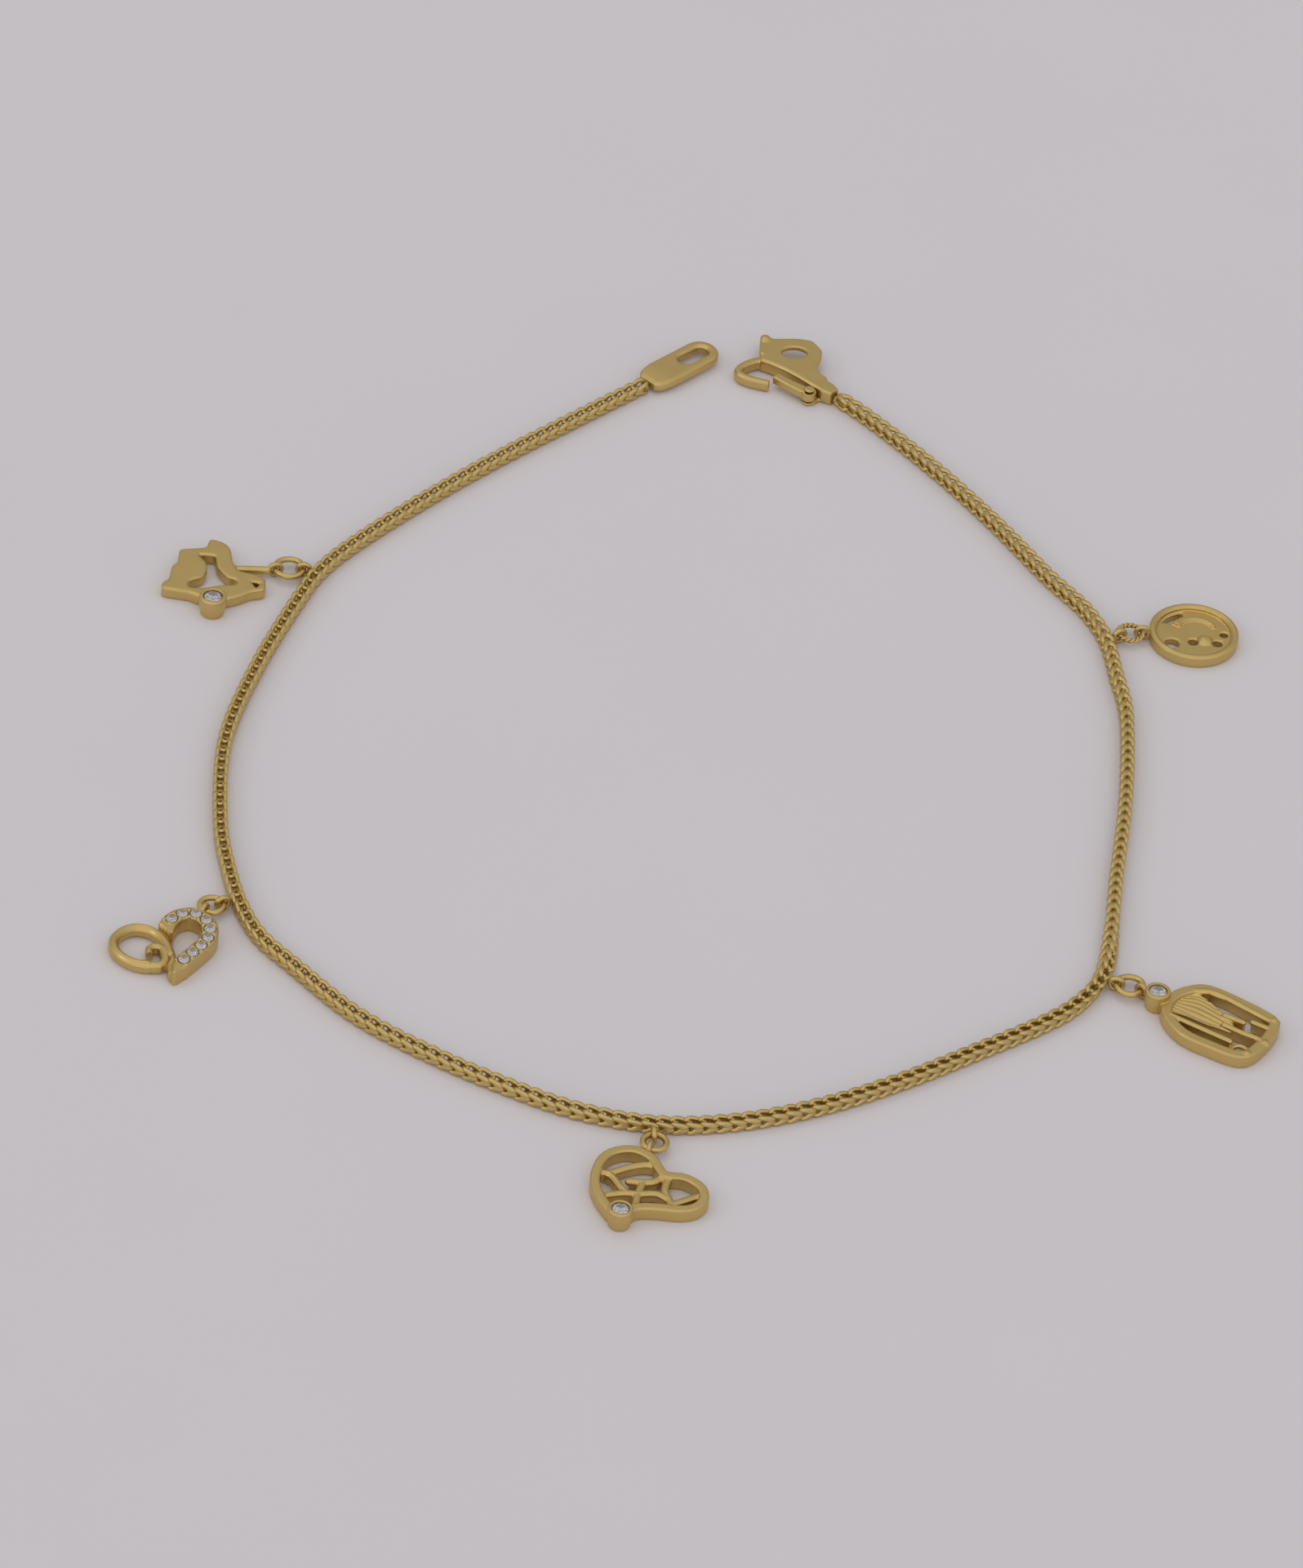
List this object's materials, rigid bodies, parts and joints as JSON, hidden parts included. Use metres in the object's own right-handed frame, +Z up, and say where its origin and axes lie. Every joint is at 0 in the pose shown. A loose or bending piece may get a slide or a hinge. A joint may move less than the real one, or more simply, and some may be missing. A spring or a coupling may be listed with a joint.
{
  "type": "charm anklet",
  "caption": "Fine square-section chain anklet laid open, with flat openwork charms on jump rings, a long catch loop and a claw clasp with a sprung lever.",
  "frame": {"origin": "middle of the laid anklet's bounding box, on the surface it rests on", "axes": "+Z up from the surface; +Y from the charm heart at the bottom of the loop towards the clasp; +X towards the charm tag and disc"},
  "size_m": [0.0895, 0.1115, 0.0018],
  "materials": {
    "gold": "yellow gold, satin as cast, with worn bright edges",
    "stone": "clear cut stone"
  },
  "bodies": {
    "anklet": {"chain": "gold", "catch_loop": "gold", "clasp_body": "gold", "leaf_eye": "gold", "leaf_ring": "gold", "leaf_charm": "gold", "leaf_stone": "stone", "curl_heart_eye": "gold", "curl_heart_ring": "gold", "curl_heart_charm": "gold", "curl_stone_1": "stone", "curl_stone_2": "stone", "curl_stone_3": "stone", "curl_stone_4": "stone", "curl_stone_5": "stone", "curl_stone_6": "stone", "curl_stone_7": "stone", "curl_stone_8": "stone", "curl_stone_9": "stone", "pierced_heart_eye": "gold", "pierced_heart_ring": "gold", "pierced_heart_charm": "gold", "pierced_heart_stone": "stone", "tag_eye": "gold", "tag_ring": "gold", "tag_charm": "gold", "tag_stone": "stone", "disc_eye": "gold", "disc_ring": "gold", "disc_charm": "gold"},
    "lever": {"clasp_lever": "gold"}
  },
  "joints": [
    {"name": "clasp_lever", "type": "hinge", "parent": "anklet", "child": "lever", "pos_m": [0.00511, 0.04823, 0.00081], "axis": [0, 0, -1], "range_deg": [0, 7], "stiffness_Nm_per_rad": 0.00002}
  ]
}
